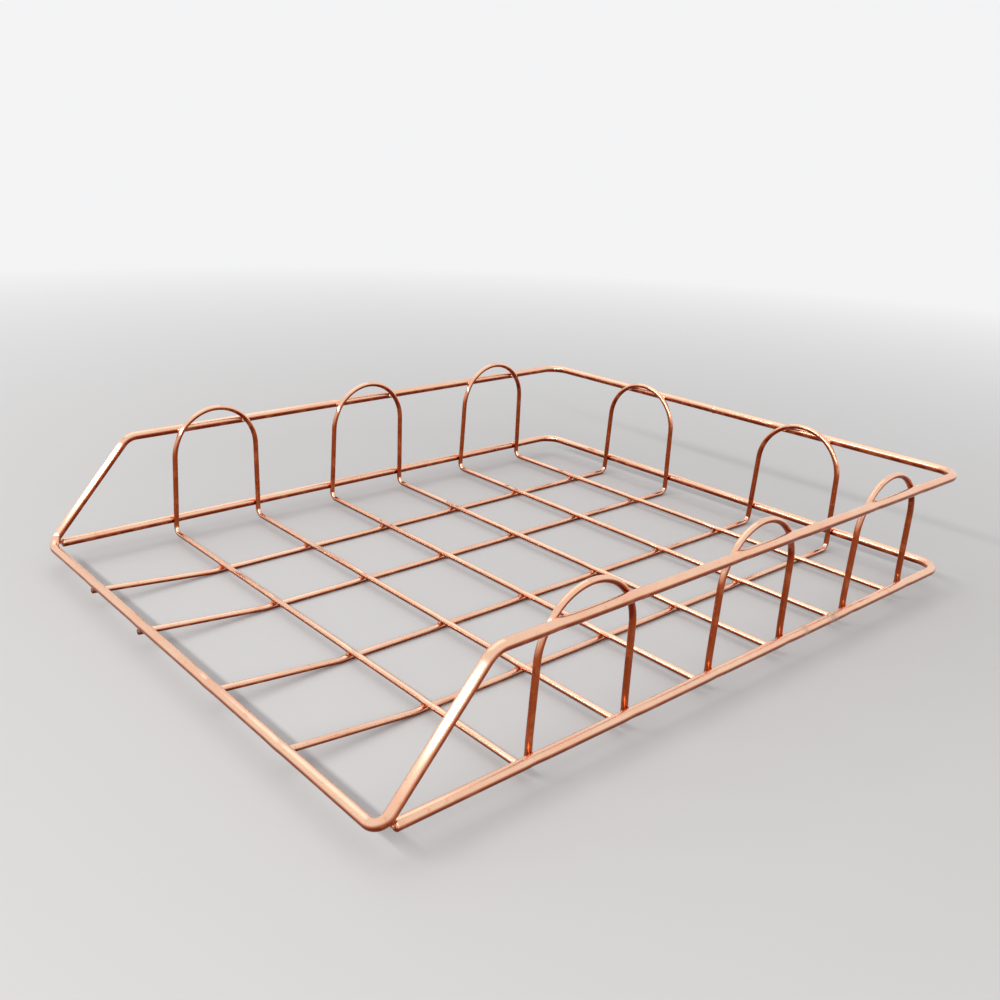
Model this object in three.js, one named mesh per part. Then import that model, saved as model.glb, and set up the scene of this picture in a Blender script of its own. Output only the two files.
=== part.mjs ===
// Stackable letter tray of round copper-plated wire, in millimetres, +Z up, front towards -Y.
// Seven bent wires, spot-welded where they cross, and the small nuggets that those welds leave.
// The origin is on the table, in the middle of the tray's outline.

import * as THREE from 'three';

// Wires, as diameters.
const frameWire = 4;
const gridWire = 2.5;

// Outline of the tray, between the middles of the frame wires.
const trayWidth = 250;
const trayDepth = 325;
const rimHeight = 55;
const frameHeight = 10;
const riserRun = 40;
const cornerBend = 10;
const riserTopBend = 9;
const frontBend = 6;

// The grid: three cross loops that run from side to side, and two hairpins from back to front.
// The arches stand proud of the rim, and the hairpins' ends stop about under the front edge.
const crossLoops = 3;
const crossPitch = 46.3;
const lastCrossToBack = 32.6;
const sideArchOverRim = 8.75;
const hairpinMiddles = [-52, 48.7];
const hairpinWidth = 45.5;
const hairpinReach = [1.5, -0.8];
const backArchOverRim = 3.9;
const legPinch = 0.9;
const footBend = 3.6;
const riseStart = 4;
const riseBend = 12;
const frameEndSetback = 5;
const cutEdge = 0.5;
const cutEndWidth = 0.72;

// The butt weld that closes the rim loop.
const buttWeldX = -6;
const buttRingHeight = 0.25;
const buttRingHalfWidth = 0.9;

// Clearance between wires that are welded together, and the nuggets of the welds.
const wireGap = 0.15;
const nuggetRadius = 0.95;
const nuggetGap = 0.25;

// Facets round each wire and nugget, the angle of one step of a bend, and the distance below which
// two points of a route are one.
const wireFacets = 12;
const bendStep = THREE.MathUtils.degToRad(15);
const nuggetAround = 8;
const nuggetRings = 6;
const samePoint = 1e-3;

// Values that follow from the sizes above.
const frameRadius = frameWire / 2;
const gridRadius = gridWire / 2;
const touching = frameRadius + gridRadius + wireGap;
const halfWidth = trayWidth / 2;
const frontY = -trayDepth / 2;
const backY = trayDepth / 2;
const sideArchTop = rimHeight + sideArchOverRim;
const backArchTop = rimHeight + backArchOverRim;
const hairpinZ = gridRadius;
const crossZ = hairpinZ + gridWire + wireGap;
const legX = halfWidth - touching;
const legY = backY - touching;
const hairpinEndZ = frameHeight - touching;
const crossY = Array.from({ length: 2 * crossLoops }, (_, i) =>
  backY - lastCrossToBack - (2 * crossLoops - 1 - i) * crossPitch);

const copper = () => new THREE.MeshStandardMaterial({ color: 0xe39a72, roughness: 0.18, metalness: 1 });
const darkCopper = () => new THREE.MeshStandardMaterial({ color: 0xb4563a, roughness: 0.4, metalness: 1 });

const at = (x, y, z) => new THREE.Vector3(x, y, z);

// A corner of a wire's route, with the radius that the bender gives it.
const corner = (point, radius = 0) => ({ point, radius });

// The points of a route: straight stretches need only their ends, and each corner becomes an arc.
function routePoints(corners, closed) {
  const points = [];
  const count = corners.length;
  corners.forEach(({ point, radius }, i) => {
    const isEnd = !closed && (i === 0 || i === count - 1);
    if (isEnd || radius === 0) {
      points.push(point.clone());
      return;
    }
    const before = corners[(i + count - 1) % count].point;
    const after = corners[(i + 1) % count].point;
    const arriving = point.clone().sub(before).normalize();
    const leaving = after.clone().sub(point).normalize();
    const turn = arriving.angleTo(leaving);
    const tangent = radius * Math.tan(turn / 2);
    const inward = leaving.clone().sub(arriving).normalize();
    const centre = point.clone().addScaledVector(inward, radius / Math.cos(turn / 2));
    const axis = arriving.clone().cross(leaving).normalize();
    const start = point.clone().addScaledVector(arriving, -tangent).sub(centre);
    const steps = Math.max(2, Math.round(turn / bendStep));
    for (let k = 0; k <= steps; k++) {
      points.push(start.clone().applyAxisAngle(axis, (turn * k) / steps).add(centre));
    }
  });
  return points.filter((p, i) => {
    const previous = i > 0 ? points[i - 1] : closed ? points[points.length - 1] : null;
    return !previous || p.distanceTo(previous) > samePoint;
  });
}

// A round wire along a route. Its section keeps one flat facet turned towards `up` where it starts.
function wireGeometry(route, radius, up) {
  const { points, closed } = route;
  const count = points.length;
  const directionAt = (i) => {
    const before = points[closed ? (i + count - 1) % count : Math.max(i - 1, 0)];
    const after = points[closed ? (i + 1) % count : Math.min(i + 1, count - 1)];
    const into = points[i].clone().sub(before).normalize();
    const out = after.clone().sub(points[i]).normalize();
    return into.add(out).normalize();
  };
  const outer = radius / Math.cos(Math.PI / wireFacets);
  const positions = [];
  let direction = directionAt(0);
  let normal = up.clone().addScaledVector(direction, -up.dot(direction)).normalize();
  for (let i = 0; i < count; i++) {
    const next = directionAt(i);
    normal.applyQuaternion(new THREE.Quaternion().setFromUnitVectors(direction, next));
    normal.addScaledVector(next, -normal.dot(next)).normalize();
    direction = next;
    const side = direction.clone().cross(normal);
    const ringRadius = outer * (route.ringScale?.[i] ?? 1);
    for (let k = 0; k < wireFacets; k++) {
      const angle = ((k + 0.5) / wireFacets) * 2 * Math.PI;
      const vertex = points[i].clone()
        .addScaledVector(normal, ringRadius * Math.cos(angle))
        .addScaledVector(side, ringRadius * Math.sin(angle));
      positions.push(vertex.x, vertex.y, vertex.z);
    }
  }
  const faces = [];
  const lastRing = closed ? count : count - 1;
  for (let i = 0; i < lastRing; i++) {
    const here = i * wireFacets;
    const there = ((i + 1) % count) * wireFacets;
    for (let k = 0; k < wireFacets; k++) {
      const next = (k + 1) % wireFacets;
      faces.push(here + k, there + next, there + k);
      faces.push(here + k, here + next, there + next);
    }
  }
  if (!closed) {
    const end = (count - 1) * wireFacets;
    for (let k = 1; k < wireFacets - 1; k++) {
      faces.push(0, k + 1, k);
      faces.push(end, end + k, end + k + 1);
    }
  }
  const geometry = new THREE.BufferGeometry();
  geometry.setAttribute('position', new THREE.Float32BufferAttribute(positions, 3));
  geometry.setIndex(faces);
  return geometry;
}

const closedRoute = (corners) => ({ points: routePoints(corners, true), closed: true });

// An open wire with its sheared ends slightly rounded over.
function openRoute(corners) {
  const points = routePoints(corners, false);
  const trimmed = (end, inner) => end.clone().addScaledVector(inner.clone().sub(end).normalize(), cutEdge);
  const first = trimmed(points[0], points[1]);
  const last = trimmed(points[points.length - 1], points[points.length - 2]);
  points.splice(1, 0, first);
  points.splice(points.length - 1, 0, last);
  const ringScale = points.map((_, i) => (i === 0 || i === points.length - 1 ? cutEndWidth : 1));
  return { points, closed: false, ringScale };
}

const tray = new THREE.Group();

function add(name, geometry, material) {
  geometry.computeVertexNormals();
  const mesh = new THREE.Mesh(geometry, material);
  mesh.name = name;
  tray.add(mesh);
}

const upward = at(0, 0, 1);

const addWire = (name, route, radius) => add(name, wireGeometry(route, radius, upward), copper());

// The rim loop: front edge, a riser at each side, the side rims and the back rim, in one bent wire.
// Its ends are butt-welded in the back rim, where the squeezed metal stands up in a low ring.
function rimCorners() {
  const riserTop = frontY + riserRun;
  return [
    corner(at(buttWeldX, backY, rimHeight)),
    corner(at(buttWeldX - buttRingHalfWidth, backY, rimHeight)),
    corner(at(-halfWidth, backY, rimHeight), cornerBend),
    corner(at(-halfWidth, riserTop, rimHeight), riserTopBend),
    corner(at(-halfWidth, frontY, frameHeight), frontBend),
    corner(at(halfWidth, frontY, frameHeight), frontBend),
    corner(at(halfWidth, riserTop, rimHeight), riserTopBend),
    corner(at(halfWidth, backY, rimHeight), cornerBend),
    corner(at(buttWeldX + buttRingHalfWidth, backY, rimHeight)),
  ];
}
const rimRoute = closedRoute(rimCorners());
rimRoute.ringScale = rimRoute.points.map((_, i) => (i === 0 ? 1 + buttRingHeight / frameRadius : 1));
addWire('rim_loop', rimRoute, frameRadius);

// The base frame: a U along both sides and the back, its two cut ends just behind the rim loop's
// front bends.
function baseFrameCorners() {
  const endY = frontY + frameEndSetback;
  return [
    corner(at(-halfWidth, endY, frameHeight)),
    corner(at(-halfWidth, backY, frameHeight), cornerBend),
    corner(at(halfWidth, backY, frameHeight), cornerBend),
    corner(at(halfWidth, endY, frameHeight)),
  ];
}
addWire('base_frame', openRoute(baseFrameCorners()), frameRadius);

// An arch whose legs lean in by `legPinch` where its round top starts.
function archShape(width, footZ, top) {
  const half = width / 2;
  const lean = legPinch / (top - half - footZ);
  const topHalf = half - lean * (top - footZ);
  const radius = topHalf / Math.tan((Math.PI / 2 - Math.atan(lean)) / 2);
  return { half, lean, topHalf, radius, centreZ: top - radius };
}

// The two top corners of an arch, whose bends meet in the middle.
function archCorners(footA, footB, top) {
  const across = footB.clone().sub(footA);
  const { half, topHalf, radius } = archShape(across.length(), footA.z, top);
  const inward = across.normalize();
  const over = (foot, sign) => at(foot.x, foot.y, top).addScaledVector(inward, sign * (half - topHalf));
  return [corner(over(footA, 1), radius), corner(over(footB, -1), radius)];
}

// Each cross loop: two parallel wires over the base and an arch up each side, in one closed ring.
function crossLoopCorners(frontWireY, backWireY) {
  const feet = [
    at(legX, frontWireY, crossZ),
    at(legX, backWireY, crossZ),
    at(-legX, backWireY, crossZ),
    at(-legX, frontWireY, crossZ),
  ];
  return [
    corner(feet[0], footBend),
    ...archCorners(feet[0], feet[1], sideArchTop),
    corner(feet[1], footBend),
    corner(feet[2], footBend),
    ...archCorners(feet[2], feet[3], sideArchTop),
    corner(feet[3], footBend),
  ];
}
const loopNames = ['front', 'middle', 'rear'];
for (let i = 0; i < crossLoops; i++) {
  const route = closedRoute(crossLoopCorners(crossY[2 * i], crossY[2 * i + 1]));
  addWire(`cross_loop_${loopNames[i]}`, route, gridRadius);
}

// Each hairpin: an arch up the back, and two long wires that run forward on the table and rise to
// the underside of the front edge. `reach` is how far they pass its middle.
function hairpinCorners(middle, reach) {
  const ends = [middle - hairpinWidth / 2, middle + hairpinWidth / 2];
  const endY = frontY - reach;
  const riseY = crossY[0] - riseStart;
  const slope = (hairpinEndZ - hairpinZ) / (riseY - frontY);
  const endZ = hairpinZ + slope * (riseY - endY);
  const feet = ends.map((x) => at(x, legY, hairpinZ));
  return [
    corner(at(ends[0], endY, endZ)),
    corner(at(ends[0], riseY, hairpinZ), riseBend),
    corner(feet[0], footBend),
    ...archCorners(feet[0], feet[1], backArchTop),
    corner(feet[1], footBend),
    corner(at(ends[1], riseY, hairpinZ), riseBend),
    corner(at(ends[1], endY, endZ)),
  ];
}
const hairpinNames = ['left', 'right'];
hairpinMiddles.forEach((middle, i) => {
  const route = openRoute(hairpinCorners(middle, hairpinReach[i]));
  addWire(`hairpin_${hairpinNames[i]}`, route, gridRadius);
});

// A weld nugget: a ball of metal in the crook between two crossed wires.
function addNugget(name, centre) {
  const ball = new THREE.SphereGeometry(nuggetRadius, nuggetAround, nuggetRings);
  ball.translate(centre.x, centre.y, centre.z);
  add(name, ball, darkCopper());
}

// The nugget lies on one wire and against the other, which crosses over the first one.
const onGridWire = gridRadius + nuggetGap + nuggetRadius;
const onFrameWire = frameRadius + nuggetGap + nuggetRadius;
const besideWire = (step) => Math.sqrt(onGridWire ** 2 - step ** 2);

// One nugget at each crossing of the base, on the long wire, in front of the cross wire.
const longX = hairpinMiddles.flatMap((middle) => [middle - hairpinWidth / 2, middle + hairpinWidth / 2]);
const gridNuggetZ = hairpinZ + onGridWire;
crossY.forEach((y, i) => {
  longX.forEach((x, j) => {
    addNugget(`weld_grid_${i + 1}_${j + 1}`, at(x, y - besideWire(crossZ - gridNuggetZ), gridNuggetZ));
  });
});

// How far from the middle of an arch a nugget on the rim lies, outside the arch or inside it.
function nuggetFromMiddle(width, footZ, top, outside) {
  const { half, lean, radius, centreZ } = archShape(width, footZ, top);
  const beside = besideWire(touching - onFrameWire) * (outside ? 1 : -1);
  const rise = rimHeight - centreZ;
  if (rise <= 0) {
    return half - lean * (rimHeight - footZ) + beside;
  }
  return Math.sqrt(Math.max((radius + beside) ** 2 - rise ** 2, 0));
}

// One nugget where each arch leg crosses the rim: in front of the leg at the sides of the tray,
// and to the right of it at the back.
for (let i = 0; i < crossLoops; i++) {
  const middleY = (crossY[2 * i] + crossY[2 * i + 1]) / 2;
  const outside = nuggetFromMiddle(crossPitch, crossZ, sideArchTop, true);
  const inside = nuggetFromMiddle(crossPitch, crossZ, sideArchTop, false);
  [middleY - outside, middleY + inside].forEach((y, leg) => {
    addNugget(`weld_rim_left_${2 * i + leg + 1}`, at(onFrameWire - halfWidth, y, rimHeight));
    addNugget(`weld_rim_right_${2 * i + leg + 1}`, at(halfWidth - onFrameWire, y, rimHeight));
  });
}
hairpinMiddles.forEach((middleX, i) => {
  const outside = nuggetFromMiddle(hairpinWidth, hairpinZ, backArchTop, true);
  const inside = nuggetFromMiddle(hairpinWidth, hairpinZ, backArchTop, false);
  [middleX - inside, middleX + outside].forEach((x, leg) => {
    addNugget(`weld_rim_back_${2 * i + leg + 1}`, at(x, backY - onFrameWire, rimHeight));
  });
});

// The butt welds between the base frame's cut ends and the rim loop's front bends.
const buttY = frontY + frameEndSetback - nuggetGap - nuggetRadius;
const buttZ = frameHeight - nuggetRadius;
addNugget('weld_corner_left', at(-halfWidth, buttY, buttZ));
addNugget('weld_corner_right', at(halfWidth, buttY, buttZ));

export default tray;
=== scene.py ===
# %% [markdown]
# # A copper-plated wire letter tray
# The tray is bent from seven steel wires, spot-welded where they cross, and plated with copper.
# The CAD frame gives every wire as a twelve-sided bar with sharp gaps at the welds. Here each wire
# is drawn again, round and smooth, pressed into its neighbours at the welds as a real one is.

import bpy
import numpy as np
from mathutils import Matrix, Vector


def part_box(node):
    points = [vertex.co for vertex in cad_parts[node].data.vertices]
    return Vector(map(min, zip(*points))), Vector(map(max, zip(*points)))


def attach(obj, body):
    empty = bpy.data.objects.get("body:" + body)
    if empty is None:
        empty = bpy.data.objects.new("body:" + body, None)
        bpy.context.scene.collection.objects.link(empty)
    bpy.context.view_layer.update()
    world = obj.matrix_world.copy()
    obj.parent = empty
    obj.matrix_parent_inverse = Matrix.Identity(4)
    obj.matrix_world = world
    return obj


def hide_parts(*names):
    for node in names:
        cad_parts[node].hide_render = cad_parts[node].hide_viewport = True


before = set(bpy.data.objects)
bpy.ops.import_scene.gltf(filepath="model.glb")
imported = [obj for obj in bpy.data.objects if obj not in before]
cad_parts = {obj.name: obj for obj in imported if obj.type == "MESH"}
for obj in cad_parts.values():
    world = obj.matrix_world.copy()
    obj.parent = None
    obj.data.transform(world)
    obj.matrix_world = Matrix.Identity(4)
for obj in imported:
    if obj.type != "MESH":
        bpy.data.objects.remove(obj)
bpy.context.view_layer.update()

# %% [markdown]
# ## Sizes
# Every place comes from the boxes of the CAD nodes, so the drawn wires lie where the solid ones do.
# The places could be typed in again, but then a change in the frame would leave the drawing behind.
# Only what a box can't tell is written here, in metres: the wire gauges, the bends and the slopes.

# %% Wires and bends
MM = 0.001
FRAME_RADIUS = 2.0 * MM
GRID_RADIUS = 1.25 * MM
CORNER_BEND = 10.0 * MM
RISER_TOP_BEND = 9.0 * MM
FRONT_BEND = 6.0 * MM
FOOT_BEND = 3.6 * MM
RISE_BEND = 12.0 * MM
LEG_PINCH = 0.9 * MM
RISER_RUN = 40.0 * MM
RISE_START = 4.0 * MM
CROSS_LOOPS = ("front", "middle", "rear")
HAIRPINS = ("left", "right")


def node_box(node):
    """The lowest and highest corner of a CAD node, as arrays."""
    low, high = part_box(node)
    return np.array(low), np.array(high)


rim_low, rim_high = node_box("rim_loop")
base_low, base_high = node_box("base_frame")
half_width = (base_high[0] - base_low[0]) / 2 - FRAME_RADIUS
back_y = base_high[1] - FRAME_RADIUS
front_y = rim_low[1] + FRAME_RADIUS
rim_z = rim_high[2] - FRAME_RADIUS
frame_z = base_high[2] - FRAME_RADIUS
print("rim", round(rim_z / MM, 2), "mm up, from", round(front_y / MM, 1), "to", round(back_y / MM, 1))

# %% [markdown]
# ## A bent wire's route
# A wire bender makes straight runs joined by arcs. So a route is given by its corner points and the
# radius of the bend at each one, and every bend becomes the arc that touches both straights. A
# smooth spline could be used too, but its bends aren't true arcs, and a bender's are.

# %% Routes
STEP = 1.0 * MM
SHORT_STEPS = 8
BEND_STEP = np.radians(5)
SAME_POINT = 1e-6


def arc_at(before, corner, after, radius):
    """The bend at a corner: an arc of the given radius that touches both straights.

    It starts radius * tan(turn / 2) before the corner. Each point is the centre plus the start's
    spoke times cos(t) plus the direction of arrival times radius * sin(t), for t from 0 to turn.
    """
    arriving = (corner - before) / np.linalg.norm(corner - before)
    leaving = (after - corner) / np.linalg.norm(after - corner)
    turn = np.arccos(np.clip(arriving @ leaving, -1, 1))
    start = corner - arriving * radius * np.tan(turn / 2)
    inward = leaving - arriving * (arriving @ leaving)
    inward /= np.linalg.norm(inward)
    centre = start + inward * radius
    t = np.linspace(0, turn, max(3, int(np.ceil(turn / BEND_STEP)) + 1))[:, None]
    return centre - inward * radius * np.cos(t) + arriving * radius * np.sin(t)


def straight(a, b):
    """The points a + (b - a) * share between two arc ends: about one every STEP, no ends."""
    count = max(SHORT_STEPS, int(np.linalg.norm(b - a) / STEP))
    share = np.linspace(0, 1, count + 1)[1:-1, None]
    return a + (b - a) * share


def wire_route(corners, bends, closed):
    """All points of a wire's middle line: its arcs, with the straights between them."""
    corners = np.array(corners, float)
    count = len(corners)
    arcs = []
    for i, bend in enumerate(bends):
        end = not closed and i in (0, count - 1)
        if end or bend == 0:
            arcs.append(corners[i:i + 1])
        else:
            arcs.append(arc_at(corners[i - 1], corners[i], corners[(i + 1) % count], bend))
    parts = []
    for i, arc in enumerate(arcs):
        parts.append(arc)
        if closed or i < count - 1:
            parts.append(straight(arc[-1], arcs[(i + 1) % count][0]))
    points = np.concatenate([part for part in parts if len(part)])
    apart = np.linalg.norm(points - np.roll(points, 1, axis=0), axis=1) > SAME_POINT
    apart[0] = True
    return points[apart]


print("a quarter bend takes", round(np.pi / 2 / BEND_STEP), "steps")

# %% [markdown]
# ## The arches
# Each pair of grid wires is joined by an arch with a half-round top, and its legs lean in a little.
# Upright legs under a half circle would be simpler, but the lean shows on so slim a shape. So the
# arch is two sloping lines and the circle that touches both.

# %% Arch shape


def arch_shape(width, foot_z, top):
    """Half width at the foot, lean of the legs, half width at the top corner, and the top's radius.

    The round top touches both legs, so its radius is the top half width over
    tan((90 degrees - lean angle) / 2).
    """
    half = width / 2
    lean = LEG_PINCH / (top - half - foot_z)
    top_half = half - lean * (top - foot_z)
    radius = top_half / np.tan((np.pi / 2 - np.arctan(lean)) / 2)
    return half, lean, top_half, radius


def arch_half_width(width, foot_z, top, z):
    """Distance from an arch's middle to its leg, at height z.

    On the leg it is half - lean * (z - foot_z), and on the round top sqrt(radius ** 2 - rise ** 2),
    where rise is the height above the middle of the circle.
    """
    half, lean, _, radius = arch_shape(width, foot_z, top)
    rise = z - (top - radius)
    if rise <= 0:
        return half - lean * (z - foot_z)
    return np.sqrt(radius ** 2 - rise ** 2)


def arch_corners(foot_a, foot_b, top):
    """The two top corners of the arch between two feet, and the radius of its bends.

    Each corner is its foot, raised to the top and moved inward by half - top_half.
    """
    across = foot_b - foot_a
    width = np.linalg.norm(across)
    half, _, top_half, radius = arch_shape(width, foot_a[2], top)
    inward = across / width * (half - top_half)
    rise = np.array([0, 0, top - foot_a[2]])
    return foot_a + rise + inward, foot_b + rise - inward, radius


print("each arch leg leans in by", round(LEG_PINCH / MM, 1), "mm")

# %% [markdown]
# ## The places of the grid wires
# The grid is three loops across and two hairpins along. They could be spaced by a formula, but the
# boxes of their solids already hold every place: a wire's middle line lies one radius inside.

# %% Grid wires
loops = {}
for name in CROSS_LOOPS:
    low, high = node_box("cross_loop_" + name)
    loops[name] = {
        "front": low[1] + GRID_RADIUS, "back": high[1] - GRID_RADIUS, "z": low[2] + GRID_RADIUS,
        "leg": high[0] - GRID_RADIUS, "top": high[2] - GRID_RADIUS,
    }
hairpins = {}
for name in HAIRPINS:
    low, high = node_box("hairpin_" + name)
    hairpins[name] = {
        "left": low[0] + GRID_RADIUS, "right": high[0] - GRID_RADIUS, "z": low[2] + GRID_RADIUS,
        "leg": high[1] - GRID_RADIUS, "top": high[2] - GRID_RADIUS, "end": low[1],
    }
cross_y = [loops[name][side] for name in CROSS_LOOPS for side in ("front", "back")]
long_x = [hairpins[name][side] for name in HAIRPINS for side in ("left", "right")]
cross_z = loops["front"]["z"]
long_z = hairpins["left"]["z"]
leg_x = loops["front"]["leg"]
leg_y = hairpins["left"]["leg"]
end_z = frame_z - (half_width - leg_x)
print("cross wires at", np.round(np.array(cross_y) / MM, 1))
print("long wires at", np.round(np.array(long_x) / MM, 1))

# %% [markdown]
# ## Where wires touch
# A spot welder squeezes two wires together while they glow, so each sinks a little into the other.
# The touching places could be searched for, but the order of the wires gives them directly. Each
# weld is kept as a pair of points, one on each wire's middle line.

# %% List of welds


def loop_leg_y(name, side, z):
    """Where a cross loop's leg is along Y, at height z: its middle -/+ the arch's half width."""
    loop = loops[name]
    middle = (loop["front"] + loop["back"]) / 2
    away = arch_half_width(loop["back"] - loop["front"], loop["z"], loop["top"], z)
    return middle - away if side == "front" else middle + away


def hairpin_leg_x(name, side, z):
    """Where a hairpin's leg is along X, at height z: its middle -/+ the arch's half width."""
    pin = hairpins[name]
    middle = (pin["left"] + pin["right"]) / 2
    away = arch_half_width(pin["right"] - pin["left"], pin["z"], pin["top"], z)
    return middle - away if side == "left" else middle + away


welds = []
for i, y in enumerate(cross_y):
    for j, x in enumerate(long_x):
        welds.append(("weld_grid_%d_%d" % (i + 1, j + 1), (x, y, cross_z), (x, y, long_z)))
for side, sign in (("left", -1), ("right", 1)):
    legs = [(name, end) for name in CROSS_LOOPS for end in ("front", "back")]
    for i, (name, end) in enumerate(legs):
        for place, z in (("weld_rim_%s_%d" % (side, i + 1), rim_z), (None, frame_z)):
            y = loop_leg_y(name, end, z)
            welds.append((place, (sign * leg_x, y, z), (sign * half_width, y, z)))
legs = [(name, end) for name in HAIRPINS for end in ("left", "right")]
for j, (name, end) in enumerate(legs):
    for place, z in (("weld_rim_back_%d" % (j + 1), rim_z), (None, frame_z)):
        x = hairpin_leg_x(name, end, z)
        welds.append((place, (x, leg_y, z), (x, back_y, z)))
for x in long_x:
    welds.append((None, (x, front_y, end_z), (x, front_y, frame_z)))
weld_a = np.array([a for _, a, _ in welds])
weld_b = np.array([b for _, _, b in welds])
print(len(welds), "places where wires are welded")

# %% [markdown]
# ## Pressing the wires together
# Near a weld the wire's middle line bends towards its neighbour by a bell curve, enough to close the
# gap of the CAD solids and to sink in a little. Whole wires could be moved closer, but then they
# would leave their places: a bell curve moves only the few millimetres that the welder moved.

# %% Press
PRESS_DEPTH = 0.2 * MM
PRESS_REACH = 3.5 * MM
HEAT_REACH = 3.2 * MM
ON_WIRE = 1.5 * MM


def pressed(points):
    """Moves points towards the neighbour at each weld.

    A point within the wire at a weld moves by PRESS_DEPTH * exp(-(d / PRESS_REACH) ** 2) along the
    line from this wire's middle to the other's, where d is its distance from the weld.
    """
    moved = points.copy()
    for own, other in ((weld_a, weld_b), (weld_b, weld_a)):
        distance = np.linalg.norm(points[:, None] - own[None], axis=2)
        on_wire = distance.min(axis=0) < ON_WIRE
        towards = other - own
        towards /= np.linalg.norm(towards, axis=1)[:, None]
        weight = PRESS_DEPTH * np.exp(-(distance / PRESS_REACH) ** 2) * on_wire
        moved += weight @ towards
    return moved


def heat_at(points):
    """How strongly a weld's heat tinted each point: exp(-(d / HEAT_REACH) ** 2), d to the nearest."""
    spots = (weld_a + weld_b) / 2
    distance = np.linalg.norm(points[:, None] - spots[None], axis=2).min(axis=1)
    return np.exp(-(distance / HEAT_REACH) ** 2)


print("each wire sinks", round(PRESS_DEPTH / MM, 2), "mm towards its neighbour")

# %% [markdown]
# ## From a route to a round wire
# A circle is carried along the route. Its plane stays square to the route, and it is turned so that
# one spoke points away from a chosen inner point, which keeps the circles from twisting. A bevelled
# curve would give the same tube, but no grid of points to press, ring and scar.

# %% Tube surface
AROUND = 20


def along_route(points, closed):
    """Unit directions of a route, by central differences, and its length up to each point."""
    if closed:
        direction = np.roll(points, -1, axis=0) - np.roll(points, 1, axis=0)
    else:
        direction = np.gradient(points, axis=0)
    direction /= np.linalg.norm(direction, axis=1)[:, None]
    steps = np.linalg.norm(np.diff(points, axis=0), axis=1)
    return direction, np.concatenate([[0], np.cumsum(steps)])


def tube_grid(points, closed, radius, inner):
    """A tube as a grid of rings.

    Vertex (i, k) is point i plus radius * (cos(a) * out + sin(a) * side), with a = k / AROUND
    turns. `out` is the part of (point - inner) that is square to the route. `round_wire` is the
    direction round the wire: the route's direction crossed with the spoke.
    """
    direction, length = along_route(points, closed)
    out = points - np.array(inner)
    out -= (out * direction).sum(axis=1)[:, None] * direction
    out /= np.linalg.norm(out, axis=1)[:, None]
    side = np.cross(direction, out)
    angle = np.arange(AROUND) / AROUND * 2 * np.pi
    spoke = np.cos(angle)[None, :, None] * out[:, None] + np.sin(angle)[None, :, None] * side[:, None]
    grid = points[:, None] + np.reshape(radius, (-1, 1, 1)) * spoke
    flow = np.stack(np.broadcast_arrays(
        np.cos(angle)[None], np.sin(angle)[None], length[:, None]), axis=2)
    round_wire = np.cross(direction[:, None], spoke)
    return grid, spoke, flow, round_wire


def ring_faces(rings, closed):
    """Quads between neighbouring rings, and a flat cap on each end of an open wire.

    Point k of ring i has the number i * AROUND + k.
    """
    i = np.arange(rings if closed else rings - 1)[:, None]
    k = np.arange(AROUND)[None]
    here = i * AROUND
    there = (i + 1) % rings * AROUND
    following = (k + 1) % AROUND
    quads = np.stack([here + k, here + following, there + following, there + k], axis=2).reshape(-1, 4)
    if closed:
        return quads.tolist()
    first = list(range(AROUND))[::-1]
    last = list(range((rings - 1) * AROUND, rings * AROUND))
    return quads.tolist() + [first, last]


print("each ring of a wire has", AROUND, "points")

# %% [markdown]
# ## Rings, rough places and cut ends
# A real wire isn't an even tube. A butt weld leaves a ring, a rough weld leaves lumps and pits, and
# a shear leaves a rounded end. These could be bumps in the material, but the outline would stay
# straight, so they are moved points: bell curves that fade into the plain wire.

# %% Uneven places
END_RINGS = 4
SCAR_WAVES = ((0.6, 3, 0.6, 0.42 * MM), (0.4, 5, 2.0, 0.27 * MM))
OUTER_SIDE = 1.6


def bell(points, place, height, width):
    """A bump along a wire: height * exp(-(d / width) ** 2), d being the distance from its place."""
    away = np.linalg.norm(points - np.array(place), axis=1)
    return height * np.exp(-(away / width) ** 2)


def round_ends(points, radius, bevel):
    """Adds a few rings at each cut end, and narrows them by a quarter-round.

    At a distance t from the end, up to the bevel, the radius is
    radius - bevel + sqrt(bevel ** 2 - (bevel - t) ** 2).
    """
    first, last = points[0], points[-1]
    into_first = (points[1] - first) / np.linalg.norm(points[1] - first)
    into_last = (points[-2] - last) / np.linalg.norm(points[-2] - last)
    t = np.linspace(0, 1, END_RINGS)[:, None] * bevel
    points = np.concatenate([first + into_first * t, points[1:-1], (last + into_last * t)[::-1]])
    rounding = radius - bevel + np.sqrt(bevel ** 2 - (bevel - t[:, 0]) ** 2)
    middle = np.full(len(points) - 2 * END_RINGS, radius)
    return points, np.concatenate([rounding, middle, rounding[::-1]])


def scar_on(points, spoke, flow, place, height, width):
    """A rough place on a wire: how strong it is at each point, and the lift it gives there.

    Its strength is a bell of height 1. The lift along the spoke is height * strength * wave, where
    the wave adds up share * sin(turns * angle + phase) * sin(length along the wire / pace) for each
    row of SCAR_WAVES. The side that faces out of the tray only sinks.
    """
    strength = bell(points, place, 1.0, width)[:, None]
    angle = np.arctan2(flow[..., 1], flow[..., 0])
    wave = sum(
        share * np.sin(turns * angle + phase) * np.sin(flow[..., 2] / pace)
        for share, turns, phase, pace in SCAR_WAVES)
    facing_out = np.clip(OUTER_SIDE * spoke[..., 0], 0, 1)
    wave = np.minimum(wave, 0) + np.maximum(wave, 0) * (1 - facing_out)
    return np.broadcast_to(strength, angle.shape), height * strength * wave


print(len(SCAR_WAVES), "waves make a rough place")

# %% [markdown]
# ## The wire as an object
# The finish differs over a wire: redder near a weld, and painted shade below and at a free tip. A
# painted image could hold that, but attributes on the points are sharper here and need no unwrapping.

# %% Wire objects
TIP_SHADE_REACH = 2.0 * MM


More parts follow.
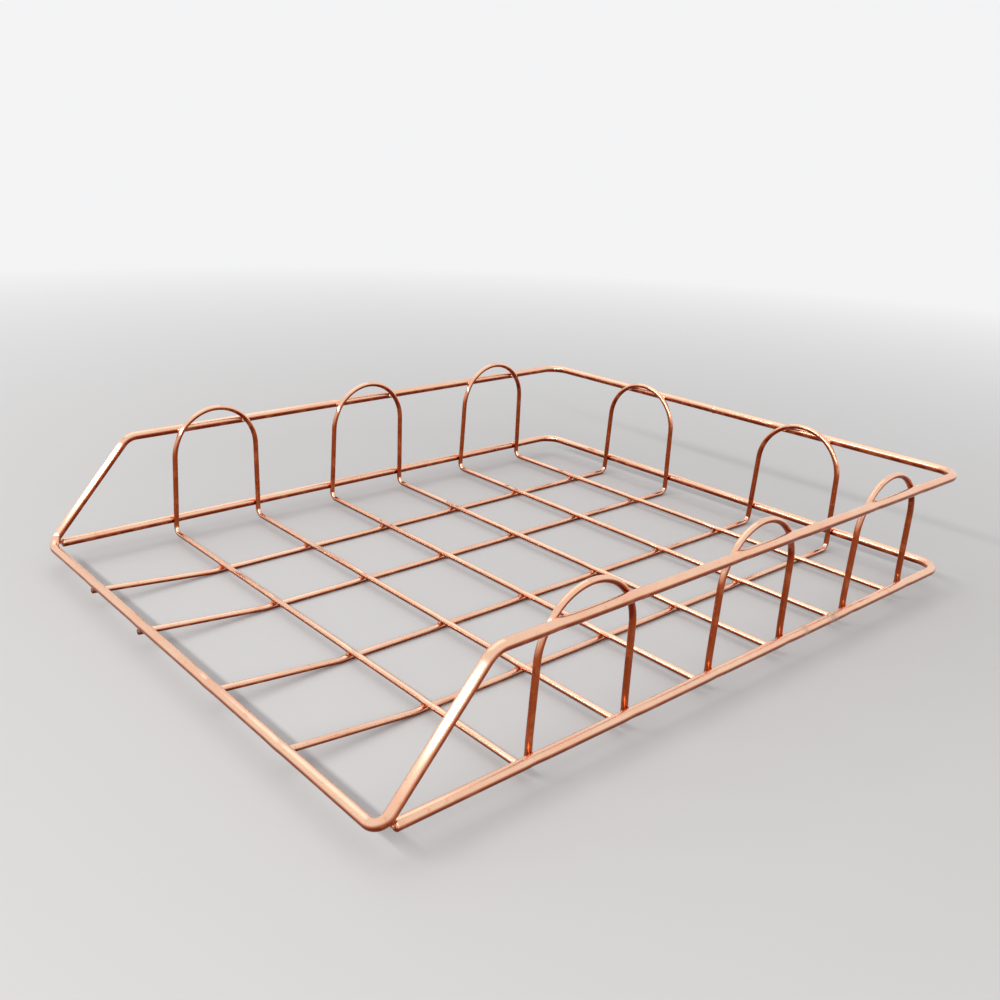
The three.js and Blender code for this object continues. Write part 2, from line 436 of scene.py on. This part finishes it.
def put_attribute(mesh, name, kind, values):
    """Stores one value for each vertex, which the materials read back by name."""
    attribute = mesh.attributes.new(name, kind, "POINT")
    field = "vector" if kind == "FLOAT_VECTOR" else "value"
    attribute.data.foreach_set(field, np.asarray(values, np.float32).ravel())


def wire_object(
        name, points, closed, radius, inner, end_bevel=0.0, ring=None, scars=(), shaded_tips=False):
    """Builds one wire from its route, with its attributes, and returns the object.

    The radius is constant, but for the ring of a butt weld, which is a bell, and for a quarter-round
    over each cut end. The ring and each scar are a place, a height and a width. On a wire with painted
    shade at its tips, `cut` is exp(-(d / reach) ** 2), with d the distance from the nearer end and reach
    how far the tip shade spreads.
    """
    points = pressed(points)
    radii = np.full(len(points), radius)
    if ring:
        radii = radii + bell(points, *ring)
    if not closed:
        points, radii = round_ends(points, radius, end_bevel)
    grid, spoke, flow, round_wire = tube_grid(points, closed, radii, inner)
    scarred = np.zeros(grid.shape[:2])
    for place, height, width in scars:
        strength, lift = scar_on(points, spoke, flow, place, height, width)
        grid = grid + lift[..., None] * spoke
        scarred = np.maximum(scarred, strength)
    # Painted shade near the hairpins' tips: `cut` darkens the last few millimetres of the wire.
    from_end = np.minimum(flow[..., 2], flow[..., 2].max() - flow[..., 2])
    cut = np.exp(-(from_end / TIP_SHADE_REACH) ** 2) * shaded_tips
    mesh = bpy.data.meshes.new(name)
    mesh.from_pydata(grid.reshape(-1, 3), [], ring_faces(len(points), closed))
    put_attribute(mesh, "flow", "FLOAT_VECTOR", flow)
    put_attribute(mesh, "heat", "FLOAT", heat_at(grid.reshape(-1, 3)))
    # How far each point faces down; the plate paints shade on the sides and underside from it.
    put_attribute(mesh, "painted_shade_facing", "FLOAT", -spoke[..., 2])
    put_attribute(mesh, "scar", "FLOAT", scarred)
    put_attribute(mesh, "cut", "FLOAT", cut)
    put_attribute(mesh, "round_wire", "FLOAT_VECTOR", round_wire)
    mesh.shade_smooth()
    wire = bpy.data.objects.new(name, mesh)
    bpy.context.scene.collection.objects.link(wire)
    print(name, len(grid), "rings")
    return wire


# %% [markdown]
# ## The rim loop
# One closed wire makes the front edge, the slanted risers, the side rims and the back rim. Its ends
# meet in a butt weld a little left of the middle of the back rim, where the squeezed metal stands up
# in a low ring. It could be made of straight bars with corner pieces, but the real one is bent from
# a single wire, so it is one route with a bend at every corner.

# %% Rim loop
BUTT_WELD_X = -6.0 * MM
BUTT_RING_SPAN = 2.0 * MM
BUTT_RING_HEIGHT = 0.2 * MM
BUTT_RING_WIDTH = 0.55 * MM
FAR_BELOW = (0, 0, -1)
riser_top = front_y + RISER_RUN
w = half_width
butt_weld = (BUTT_WELD_X, back_y, rim_z)
rim_corners = [
    butt_weld, (BUTT_WELD_X - BUTT_RING_SPAN, back_y, rim_z),
    (-w, back_y, rim_z), (-w, riser_top, rim_z), (-w, front_y, frame_z),
    (w, front_y, frame_z), (w, riser_top, rim_z), (w, back_y, rim_z),
    (BUTT_WELD_X + BUTT_RING_SPAN, back_y, rim_z),
]
rim_bends = [0, 0, CORNER_BEND, RISER_TOP_BEND, FRONT_BEND, FRONT_BEND, RISER_TOP_BEND, CORNER_BEND, 0]
rim_route = wire_route(rim_corners, rim_bends, True)
butt_ring = (butt_weld, BUTT_RING_HEIGHT, BUTT_RING_WIDTH)
rim = wire_object("rim_wire", rim_route, True, FRAME_RADIUS, FAR_BELOW, ring=butt_ring)

# %% [markdown]
# ## The base frame
# A U of the same wire lies low along both sides and the back, with its cut ends behind the rim
# loop's front bends. A closed ring would be simpler, but the real wire stops short there, and its
# ends show. On its right side are two rough places: a lumpy one and, nearer the front, a small pit.
# The route gets extra corners there, so that its rings lie close enough to show them.

# %% Base frame
LUMPY_SCAR_Y, LUMPY_SCAR_HEIGHT, LUMPY_SCAR_WIDTH = 69 * MM, 0.60 * MM, 3.4 * MM
PIT_Y, PIT_HEIGHT, PIT_WIDTH = 49 * MM, 0.28 * MM, 1.6 * MM
SCAR_STEP = 3.0 * MM
FRAME_END_BEVEL = 0.7 * MM
base_scars = [
    ((w, LUMPY_SCAR_Y, frame_z), LUMPY_SCAR_HEIGHT, LUMPY_SCAR_WIDTH),
    ((w, PIT_Y, frame_z), PIT_HEIGHT, PIT_WIDTH),
]
scar_corners = [
    (w, y + step * SCAR_STEP, frame_z)
    for y in (LUMPY_SCAR_Y, PIT_Y) for step in (2, 1, 0, -1, -2)]
base_end = base_low[1]
base_corners = [
    (-w, base_end, frame_z), (-w, back_y, frame_z), (w, back_y, frame_z),
    *scar_corners, (w, base_end, frame_z),
]
base_bends = [0, CORNER_BEND, CORNER_BEND] + [0] * (len(scar_corners) + 1)
base_route = wire_route(base_corners, base_bends, False)
base = wire_object(
    "base_wire", base_route, False, FRAME_RADIUS, FAR_BELOW, FRAME_END_BEVEL, scars=base_scars)

# %% [markdown]
# ## The cross loops
# Three closed loops of thinner wire run from side to side and arch up at both ends. Two cross wires
# and two arches could be four pieces, but one bent wire has no joints to hide.

# %% Cross loops
ABOVE_GRID = 40 * MM


def cross_loop(name):
    """One closed loop: two cross wires and an arch up each side."""
    loop = loops[name]
    feet = [np.array((x, loop[side], loop["z"])) for x, side in (
        (leg_x, "front"), (leg_x, "back"), (-leg_x, "back"), (-leg_x, "front"))]
    right_a, right_b, bend = arch_corners(feet[0], feet[1], loop["top"])
    left_a, left_b, _ = arch_corners(feet[2], feet[3], loop["top"])
    corners = [feet[0], right_a, right_b, feet[1], feet[2], left_a, left_b, feet[3]]
    bends = [FOOT_BEND, bend, bend, FOOT_BEND, FOOT_BEND, bend, bend, FOOT_BEND]
    middle = (0, (loop["front"] + loop["back"]) / 2, ABOVE_GRID)
    return wire_object("cross_wire_" + name, wire_route(corners, bends, True), True, GRID_RADIUS, middle)


cross_wires = {name: cross_loop(name) for name in CROSS_LOOPS}

# %% [markdown]
# ## The hairpins
# Two hairpins arch up at the back, run forward on the ground under the loops, and rise to the
# underside of the front edge. One could be a mirrored copy of the other, but the real ones stick
# out by different lengths, so each is built from the box of its own node.

# %% Hairpins
GRID_END_BEVEL = 0.45 * MM


def hairpin(name):
    """One hairpin: an arch up the back and two long wires forward to the front edge."""
    pin = hairpins[name]
    rise_y = cross_y[0] - RISE_START
    slope = (end_z - long_z) / (rise_y - front_y)
    tip_z = long_z + slope * (rise_y - pin["end"])
    feet = [np.array((pin[side], leg_y, pin["z"])) for side in ("left", "right")]
    top_a, top_b, bend = arch_corners(feet[0], feet[1], pin["top"])
    corners = [
        (pin["left"], pin["end"], tip_z), (pin["left"], rise_y, long_z), feet[0], top_a,
        top_b, feet[1], (pin["right"], rise_y, long_z), (pin["right"], pin["end"], tip_z),
    ]
    bends = [0, RISE_BEND, FOOT_BEND, bend, bend, FOOT_BEND, RISE_BEND, 0]
    middle = ((pin["left"] + pin["right"]) / 2, 0, ABOVE_GRID)
    route = wire_route(corners, bends, False)
    return wire_object(
        "hairpin_wire_" + name, route, False, GRID_RADIUS, middle, GRID_END_BEVEL, shaded_tips=True)


hairpin_wires = {name: hairpin(name) for name in HAIRPINS}

# %% [markdown]
# ## The welds
# Metal squeezed out of a spot weld sets as a small lump in the crook between the two wires. No two
# are alike, so each is a ball whose radius is changed by a few waves with its own random phases. A
# displaced sphere from the menu would do, but here the formula and the seed can be read.

# %% Lumpy balls
RINGS, SPOKES = 13, 20
SEED = 7
LUMP_ROUGHNESS = 0.14
random = np.random.default_rng(SEED)


def lump_surface(size, roughness):
    """A lumpy ball on a grid of latitude and longitude.

    The radius is 1 + roughness * wave. The wave is sin(2 longitude) sin(latitude) ** 2, plus 0.6
    times sin(3 longitude) sin(2 latitude), plus 0.4 times cos(3 latitude), with a random phase in
    each. The ball is then stretched to the half sizes in `size`, and its poles are single points.
    """
    latitude = np.linspace(0, np.pi, RINGS)[1:-1, None]
    longitude = np.arange(SPOKES)[None] / SPOKES * 2 * np.pi
    phase = random.uniform(0, 2 * np.pi, 4)
    wave = (
        np.sin(2 * longitude + phase[0]) * np.sin(latitude) ** 2
        + 0.6 * np.sin(3 * longitude + phase[1]) * np.sin(2 * latitude + phase[2])
        + 0.4 * np.cos(3 * latitude + phase[3])
    )
    radius = 1 + roughness * wave
    ball = np.stack(np.broadcast_arrays(
        radius * np.sin(latitude) * np.cos(longitude),
        radius * np.sin(latitude) * np.sin(longitude),
        radius * np.cos(latitude)), axis=2).reshape(-1, 3)
    poles = np.array([[0, 0, 1], [0, 0, -1]])
    return np.concatenate([ball, poles]) * np.array(size)


def lump_faces():
    """Quads between rings, and triangles at the two poles.

    Point k of ring i has the number i * SPOKES + k, and the two poles come last.
    """
    i = np.arange(RINGS - 3)[:, None]
    k = np.arange(SPOKES)[None]
    following = (k + 1) % SPOKES
    here, there = i * SPOKES, (i + 1) * SPOKES
    quads = np.stack([here + k, there + k, there + following, here + following], axis=2).reshape(-1, 4)
    north, south = (RINGS - 2) * SPOKES, (RINGS - 2) * SPOKES + 1
    last = (RINGS - 3) * SPOKES
    k, following = k[0], following[0]
    top = np.stack([np.full(SPOKES, north), k, following], axis=1)
    bottom = np.stack([np.full(SPOKES, south), last + following, last + k], axis=1)
    return quads.tolist() + top.tolist() + bottom.tolist()


def lump_object(name, centre, axes, size, roughness=LUMP_ROUGHNESS, even=0.0):
    """Places a lump: each point is the centre plus its coordinates times the three directions.

    `even` is 0 for a scorched and blotched lump, and 1 for one with a smooth, even plate.
    """
    points = lump_surface(size, roughness) @ np.array(axes, float) + np.array(centre)
    mesh = bpy.data.meshes.new(name)
    mesh.from_pydata(points, [], lump_faces())
    put_attribute(mesh, "even", "FLOAT", np.full(len(points), even))
    mesh.shade_smooth()
    lump = bpy.data.objects.new(name, mesh)
    bpy.context.scene.collection.objects.link(lump)
    return lump


print("each lump has", (RINGS - 2) * SPOKES + 2, "points")

# %% [markdown]
# The lumps at the crossings lie in front of the cross wires and arch legs, and to the right of the
# back arches' legs, where the real ones show. Placed by hand they would drift from the wires, so
# each takes its place from its weld. Those on the back rim are a little larger.

# %% Weld lumps
X, Y, Z = np.eye(3)
CONTACT_GAP = 0.1 * MM
BESIDE_CONTACT = 1.0 * MM
GRID_BEAD, BACK_BEAD = (1.55, 0.9, 0.9), (1.6, 0.95, 1.05)
BEAD_SPREAD = (0.85, 1.15)
lumps = {}
for name, a, b in welds:
    if name is None:
        continue
    a, b = np.array(a), np.array(b)
    apart = (b - a) / np.linalg.norm(b - a)
    crook = X if "back" in name else -Y
    contact = a + apart * (GRID_RADIUS + CONTACT_GAP) if "rim" in name else (a + b) / 2
    centre = contact + crook * BESIDE_CONTACT
    half_sizes = BACK_BEAD if "back" in name else GRID_BEAD
    size = np.array(half_sizes) * MM * random.uniform(*BEAD_SPREAD, 3)
    lumps[name] = lump_object(name + "_bead", centre, (crook, apart, np.cross(crook, apart)), size)
print(len(lumps), "weld lumps")

# %% [markdown]
# The base frame's cut ends are welded to the rim loop's front bends by a smooth drop in the notch
# between them. It could be a fillet that blends the two wires, but at this size the same lumpy
# ball with lower waves gives the same outline. It is moved from the CAD nugget into the notch.

# %% Corner welds
CORNER_SHIFT = (Y * 1.1 + Z * 1.4) * MM
CORNER_BEAD = np.array((1.3, 1.2, 0.9)) * MM
CORNER_ROUGHNESS = 0.08
for name in ("weld_corner_left", "weld_corner_right"):
    low, high = node_box(name)
    centre = (low + high) / 2 + CORNER_SHIFT
    lumps[name] = lump_object(
        name + "_bead", centre, (X, Y, Z), CORNER_BEAD, CORNER_ROUGHNESS, even=1.0)
print(len(lumps), "lumps with the corner welds")

# %% [markdown]
# ## Hand the pieces to the frame
# Each drawn piece takes the place of its CAD node and rides on the tray's only body. One joined
# mesh would look the same, but the tray is an assembly, so every piece keeps its own name.

# %% Ride and replace
replaced = {rim: "rim_loop", base: "base_frame"}
replaced.update({wire: "cross_loop_" + name for name, wire in cross_wires.items()})
replaced.update({wire: "hairpin_" + name for name, wire in hairpin_wires.items()})
for piece, node in replaced.items():
    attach(piece, "root")
    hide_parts(node)
for node, piece in lumps.items():
    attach(piece, "root")
    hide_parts(node)
print(len(replaced) + len(lumps), "pieces ride on the tray")

# %% [markdown]
# ## Small helpers for node materials
# A node material could be wired up by hand for each part of it, but the same few nodes come back
# again and again. Each helper adds one node, connects it and returns its output.

# %% Node helpers


def nodes_of(name):
    """A new node material: returns it with its tree and its Principled shader."""
    material = bpy.data.materials.new(name)
    material.use_nodes = True
    tree = material.node_tree
    return material, tree, tree.nodes["Principled BSDF"]


def noise(tree, vector, scale, detail=3.0, roughness=0.55):
    """A noise texture on the given coordinates, which returns its value."""
    node = tree.nodes.new("ShaderNodeTexNoise")
    node.inputs["Scale"].default_value = scale
    node.inputs["Detail"].default_value = detail
    node.inputs["Roughness"].default_value = roughness
    tree.links.new(vector, node.inputs["Vector"])
    return node.outputs["Fac"]


def remap(tree, value, low, high, to_low=0.0, to_high=1.0):
    """Maps a value from one range to another along a straight line, clamped at both ends."""
    node = tree.nodes.new("ShaderNodeMapRange")
    for socket, number in (("From Min", low), ("From Max", high), ("To Min", to_low), ("To Max", to_high)):
        node.inputs[socket].default_value = number
    tree.links.new(value, node.inputs["Value"])
    return node.outputs["Result"]


def arithmetic(tree, operation, a, b):
    """A Math node with two inputs, each a socket or a number."""
    node = tree.nodes.new("ShaderNodeMath")
    node.operation = operation
    for socket, value in zip(node.inputs, (a, b)):
        if isinstance(value, (int, float)):
            socket.default_value = value
        else:
            tree.links.new(value, socket)
    return node.outputs["Value"]


def colour_between(tree, factor, first, second):
    """Mixes two colours, each a socket or three numbers: first * (1 - f) + second * f."""
    node = tree.nodes.new("ShaderNodeMix")
    node.data_type = "RGBA"
    tree.links.new(factor, node.inputs[0])
    for socket, value in ((node.inputs[6], first), (node.inputs[7], second)):
        if isinstance(value, tuple):
            socket.default_value = (*value, 1)
        else:
            tree.links.new(value, socket)
    return node.outputs[2]


def attribute(tree, name):
    """Reads a mesh attribute by name."""
    node = tree.nodes.new("ShaderNodeAttribute")
    node.attribute_name = name
    return node


def bump(tree, height, distance, strength):
    """A bump of the given depth in metres, which returns the normal."""
    node = tree.nodes.new("ShaderNodeBump")
    node.inputs["Distance"].default_value = distance
    node.inputs["Strength"].default_value = strength
    tree.links.new(height, node.inputs["Height"])
    return node.outputs["Normal"]


print("helpers for noise, ranges, sums, colours, attributes and bumps")

# %% [markdown]
# ## The copper plate
# Bright plate over drawn wire: a mirror with fine lines along the wire, faint clouds of tarnish, a
# redder colour where the weld's heat reached, and painted shade on the sides and below, which stands
# in for the shade and the dark surroundings that the real plate mirrors. The hairpins' tips carry
# painted shade too, and the rough places are greyer and dull. One even metal colour would be simpler,
# but the real wires look bright on top and deep red-brown below, so the painted shade follows where
# they face.

# %% Copper plate
BRIGHT_COPPER = (1.0, 0.65, 0.46)
WARM_COPPER = (0.98, 0.56, 0.38)
RED_COPPER = (0.78, 0.24, 0.10)
# Painted shade: colours that darken the sides, the underside and the hairpins' tips.
SIDE_PAINTED_SHADE = (0.50, 0.11, 0.032)
DEEPEST_PAINTED_SHADE = (0.19, 0.022, 0.006)
SCAR_COPPER = (0.66, 0.46, 0.34)
LINE_STRETCH = 4
LINE_SCALE, FINE_LINE_SCALE, FINE_LINE_DEPTH = 7.0, 60.0, 0.0006 * MM
CLOUD_SCALE, SPOT_SCALE, PATCH_SCALE = 60.0, 420.0, 170.0
LINE_RANGE, CLOUD_RANGE = (0.3, 0.75), (0.35, 0.7)
SPOT_RANGE, PATCH_RANGE = (0.60, 0.74), (0.50, 0.68)
SIDE_SHADE_RANGE, BELOW_SHADE_RANGE = (-0.40, -0.10), (-0.14, 0.20)
SPOT_TINT, PATCH_TINT, HEAT_TINT, SCAR_TINT, TIP_SHADE_TINT = 0.30, 0.35, 0.55, 0.55, 0.85
SMOOTHEST, DULLEST, HEAT_DULLS, SCAR_DULLS = 0.15, 0.20, 0.12, 0.15


def copper_plate():
    """The plated wire: drawn lines follow `flow`, `heat` and `scar` tint it, and painted shade darkens
    its sides, its underside and the hairpins' tips.

    The lines run along the wire, so a reflection is drawn out round it: that is what the
    anisotropy does, with `round_wire` as its direction.
    """
    material, tree, shader = nodes_of("copper_plate")
    place = tree.nodes.new("ShaderNodeTexCoord").outputs["Object"]
    flow = tree.nodes.new("ShaderNodeMapping")
    flow.inputs["Scale"].default_value = (1, 1, LINE_STRETCH)
    tree.links.new(attribute(tree, "flow").outputs["Vector"], flow.inputs["Vector"])
    lines = noise(tree, flow.outputs["Vector"], LINE_SCALE, detail=4.0, roughness=0.7)
    fine_lines = noise(tree, flow.outputs["Vector"], FINE_LINE_SCALE, detail=1.0)
    clouds = noise(tree, place, CLOUD_SCALE)
    spots = remap(tree, noise(tree, place, SPOT_SCALE, detail=2.0), *SPOT_RANGE)
    patches = remap(tree, noise(tree, place, PATCH_SCALE, roughness=0.6), *PATCH_RANGE)
    heat = attribute(tree, "heat").outputs["Fac"]
    facing_down = attribute(tree, "painted_shade_facing").outputs["Fac"]
    # Painted shade: the sides and underside darken by how far they face down, in place of shade and a
    # mirrored dark surround.
    side = remap(tree, facing_down, *SIDE_SHADE_RANGE)
    below_shade = remap(tree, facing_down, *BELOW_SHADE_RANGE)

    top = colour_between(tree, remap(tree, clouds, *CLOUD_RANGE), BRIGHT_COPPER, WARM_COPPER)
    top = colour_between(tree, arithmetic(tree, "MULTIPLY", spots, SPOT_TINT), top, RED_COPPER)
    shade_colour = colour_between(tree, below_shade, SIDE_PAINTED_SHADE, DEEPEST_PAINTED_SHADE)
    shade_colour = colour_between(tree, arithmetic(tree, "MULTIPLY", patches, PATCH_TINT), shade_colour, RED_COPPER)
    colour = colour_between(tree, side, top, shade_colour)
    colour = colour_between(tree, arithmetic(tree, "MULTIPLY", heat, HEAT_TINT), colour, RED_COPPER)
    scar = attribute(tree, "scar").outputs["Fac"]
    colour = colour_between(tree, arithmetic(tree, "MULTIPLY", scar, SCAR_TINT), colour, SCAR_COPPER)
    # Painted shade at the hairpins' tips.
    cut = attribute(tree, "cut").outputs["Fac"]
    colour = colour_between(tree, arithmetic(tree, "MULTIPLY", cut, TIP_SHADE_TINT), colour, DEEPEST_PAINTED_SHADE)
    tree.links.new(colour, shader.inputs["Base Color"])

    rough = remap(tree, lines, *LINE_RANGE, SMOOTHEST, DULLEST)
    rough = arithmetic(tree, "ADD", rough, arithmetic(tree, "MULTIPLY", heat, HEAT_DULLS))
    rough = arithmetic(tree, "ADD", rough, arithmetic(tree, "MULTIPLY", scar, SCAR_DULLS))
    tree.links.new(rough, shader.inputs["Roughness"])
    shader.inputs["Anisotropic"].default_value = 1.0
    tree.links.new(attribute(tree, "round_wire").outputs["Vector"], shader.inputs["Tangent"])
    shader.inputs["Metallic"].default_value = 1.0
    tree.links.new(bump(tree, fine_lines, FINE_LINE_DEPTH, 1.0), shader.inputs["Normal"])
    return material


plate = copper_plate()
for piece in replaced:
    piece.data.materials.append(plate)
print("the plate has", len(plate.node_tree.nodes), "nodes")

# %% [markdown]
# ## The weld metal
# The lumps were scorched before they were plated, so they are darker, rougher and blotched. The
# higher a lump sits, the more its colour leans towards the warm plate, and the two corner welds are
# smooth and evenly red-brown. Three materials could tell them apart, but here the height and one
# attribute do it in one.

# %% Weld copper
SCORCHED_RED, SCORCHED_BROWN = (0.85, 0.30, 0.14), (0.26, 0.06, 0.025)
EVEN_RED_BROWN = (0.62, 0.20, 0.09)
EVEN_GRAIN = 0.1
SCORCH_SCALE, GRAIN_SCALE, GRAIN_DEPTH, GRAIN_STRENGTH = 900.0, 2600.0, 0.08 * MM, 0.6
SCORCH_RANGE, ROUGH_RANGE = (0.35, 0.7), (0.3, 0.7)
WELD_SMOOTHEST, WELD_DULLEST = 0.18, 0.45
LIGHTER_FROM, LIGHTEST_FROM, HEIGHT_LIGHTENING = 15 * MM, 50 * MM, 0.7


def weld_copper():
    """The weld lumps: the same plate over rough, scorched metal, brighter up on the rim."""
    material, tree, shader = nodes_of("weld_copper")
    place = tree.nodes.new("ShaderNodeTexCoord").outputs["Object"]
    scorch = noise(tree, place, SCORCH_SCALE)
    colour = colour_between(tree, remap(tree, scorch, *SCORCH_RANGE), SCORCHED_RED, SCORCHED_BROWN)
    even = attribute(tree, "even").outputs["Fac"]
    colour = colour_between(tree, even, colour, EVEN_RED_BROWN)
    parts = tree.nodes.new("ShaderNodeSeparateXYZ")
    tree.links.new(place, parts.inputs[0])
    # The lumps get lighter the higher they sit.
    lighter_higher = remap(tree, parts.outputs["Z"], LIGHTER_FROM, LIGHTEST_FROM, 0.0, HEIGHT_LIGHTENING)
    colour = colour_between(tree, lighter_higher, colour, WARM_COPPER)
    tree.links.new(colour, shader.inputs["Base Color"])
    rough = remap(tree, scorch, *ROUGH_RANGE, WELD_SMOOTHEST, WELD_DULLEST)
    tree.links.new(rough, shader.inputs["Roughness"])
    shader.inputs["Metallic"].default_value = 1.0
    grain = noise(tree, place, GRAIN_SCALE)
    grain = arithmetic(tree, "MULTIPLY", grain, remap(tree, even, 0.0, 1.0, 1.0, EVEN_GRAIN))
    tree.links.new(bump(tree, grain, GRAIN_DEPTH, GRAIN_STRENGTH), shader.inputs["Normal"])
    return material


weld = weld_copper()
for piece in lumps.values():
    piece.data.materials.append(weld)
print("the weld metal has", len(weld.node_tree.nodes), "nodes")

# %% [markdown]
# ## The floor
# A plain pale floor holds the shadow of the tray and fades into the background further out. A bent
# backdrop could hide the horizon too, but from behind and above its own edges would show.

# %% Floor
FLOOR_SIZE = 6.0
FLOOR = (0.62, 0.61, 0.60)
FLOOR_ROUGHNESS = 0.8
BACKGROUND = (0.90, 0.90, 0.91)
FADE_FROM, FADE_TO = 0.24, 1.10


def pale_floor():
    """A square floor: dull near the tray, and fading to the background's colour further out.

    The fade is 0 up to FADE_FROM from the middle, 1 from FADE_TO on, and a straight line between.
    """
    half = FLOOR_SIZE / 2
    mesh = bpy.data.meshes.new("floor")
    corners = [(-half, -half, 0), (half, -half, 0), (half, half, 0), (-half, half, 0)]
    mesh.from_pydata(corners, [], [(0, 1, 2, 3)])
    floor = bpy.data.objects.new("floor", mesh)
    bpy.context.scene.collection.objects.link(floor)
    material, tree, shader = nodes_of("floor")
    shader.inputs["Base Color"].default_value = (*FLOOR, 1)
    shader.inputs["Roughness"].default_value = FLOOR_ROUGHNESS
    place = tree.nodes.new("ShaderNodeTexCoord").outputs["Object"]
    reach = tree.nodes.new("ShaderNodeVectorMath")
    reach.operation = "LENGTH"
    tree.links.new(place, reach.inputs[0])
    far = tree.nodes.new("ShaderNodeEmission")
    far.inputs["Color"].default_value = (*BACKGROUND, 1)
    fade = tree.nodes.new("ShaderNodeMixShader")
    tree.links.new(remap(tree, reach.outputs["Value"], FADE_FROM, FADE_TO), fade.inputs[0])
    tree.links.new(shader.outputs[0], fade.inputs[1])
    tree.links.new(far.outputs[0], fade.inputs[2])
    tree.links.new(fade.outputs[0], tree.nodes["Material Output"].inputs["Surface"])
    mesh.materials.append(material)


pale_floor()
print("the floor fades out from", FADE_FROM, "to", FADE_TO, "metres")

# %% [markdown]
# ## The background
# Polished metal shows mostly what is around it, so a pale surround gives the wires their shine. A
# picture of a studio could light the scene, but a plain colour keeps the copper's own. It is dimmer
# as a light than it looks, so that the floor doesn't turn white.

# %% World
BACKGROUND_AS_LIGHT = 0.65


def pale_background():
    """The world: its full colour to the camera and in reflections, and dimmer as a light."""
    world = bpy.data.worlds.new("background")
    bpy.context.scene.world = world
    world.use_nodes = True
    tree = world.node_tree
    background = tree.nodes["Background"]
    background.inputs["Color"].default_value = (*BACKGROUND, 1)
    path = tree.nodes.new("ShaderNodeLightPath")
    seen = arithmetic(tree, "MAXIMUM", path.outputs["Is Camera Ray"], path.outputs["Is Glossy Ray"])
    seen = arithmetic(tree, "MAXIMUM", seen, path.outputs["Is Transmission Ray"])
    strength = remap(tree, seen, 0.0, 1.0, BACKGROUND_AS_LIGHT, 1.0)
    tree.links.new(strength, background.inputs["Strength"])


pale_background()
print("the background lights the tray at", BACKGROUND_AS_LIGHT, "of its brightness")

# %% [markdown]
# ## The lamps
# The slanted risers carry a long white highlight. A wire mirrors a lamp only where the lamp lies
# square to it, so the key lamp is a strip in the plane square to the risers: it whitens them and
# leaves the other wires alone, which a round lamp wouldn't. A large dim lamp fills from above.

# %% Lamps
KEY_ANGLE = np.radians(78)
KEY_DISTANCE, KEY_WIDTH, KEY_HEIGHT, KEY_RADIANCE = 1.1, 2.6, 0.09, 18.0
FILL_TOWARDS = (-0.55, 0.15, 1.25)
FILL_DISTANCE, FILL_SIDE, FILL_RADIANCE = 1.9, 1.8, 0.5


def soft_lamp(name, target, towards, across, distance, width, height, radiance):
    """A soft rectangular lamp that faces a target, from the given direction and distance.

    Its long side, the width, lies along `across` as far as that is square to the direction. Its
    surface has the given radiance, where 1 is as bright as white in the picture, so it gives
    radiance * pi * width * height watts.
    """
    back = Vector(towards).normalized()
    along = Vector(across)
    along = (along - back * along.dot(back)).normalized()
    lamp = bpy.data.lights.new(name, "AREA")
    lamp.shape = "RECTANGLE"
    lamp.size = width
    lamp.size_y = height
    lamp.energy = radiance * np.pi * width * height
    holder = bpy.data.objects.new(name, lamp)
    bpy.context.scene.collection.objects.link(holder)
    holder.location = Vector(target) + back * distance
    holder.rotation_euler = Matrix((along, back.cross(along), back)).transposed().to_euler()
    print(name, "at", np.round(holder.location, 2))


riser_middle = (half_width, front_y + RISER_RUN / 2, (rim_z + frame_z) / 2)
riser_slope = np.array((0, RISER_RUN, rim_z - frame_z))
riser_slope /= np.linalg.norm(riser_slope)
square_to_riser = np.cross(riser_slope, X)
key_towards = np.cos(KEY_ANGLE) * X - np.sin(KEY_ANGLE) * square_to_riser
soft_lamp("key_lamp", riser_middle, key_towards, -X, KEY_DISTANCE, KEY_WIDTH, KEY_HEIGHT, KEY_RADIANCE)
soft_lamp("fill_lamp", (0, 0, 0), FILL_TOWARDS, X, FILL_DISTANCE, FILL_SIDE, FILL_SIDE, FILL_RADIANCE)

# %% [markdown]
# ## The camera
# The camera was solved from the photograph's wires: its place, its turn and its focal length. It
# could be set by eye, but thin wires show every pixel of error. The picture was cropped off centre,
# so the lens is shifted to the side by a tenth of the width.

# %% Camera
IMAGE_WIDTH = 1000
FOCAL_PIXELS = 1020.4
CENTRE_PIXEL = 398.65
CAMERA_PLACE = (310.0 * MM, -306.7 * MM, 194.1 * MM)
CAMERA_TURN = (69.95, -1.66, 52.05)
SENSOR_WIDTH = 36
CLIP_START = 10 * MM
camera_data = bpy.data.cameras.new("camera")
camera_data.sensor_width = SENSOR_WIDTH
camera_data.lens = SENSOR_WIDTH * FOCAL_PIXELS / IMAGE_WIDTH
camera_data.shift_x = (IMAGE_WIDTH / 2 - CENTRE_PIXEL) / IMAGE_WIDTH
camera_data.clip_start = CLIP_START
camera = bpy.data.objects.new("camera", camera_data)
camera.location = CAMERA_PLACE
camera.rotation_euler = np.radians(CAMERA_TURN)
bpy.context.scene.collection.objects.link(camera)
bpy.context.scene.camera = camera
bpy.context.scene.view_settings.view_transform = "Standard"
print("lens", round(camera_data.lens, 2), "mm, shifted by", round(camera_data.shift_x, 3))

# %% [markdown]
# ## Finish
# The view layer is updated last, so that every piece stands in its final place.

# %% Finish
bpy.context.view_layer.update()
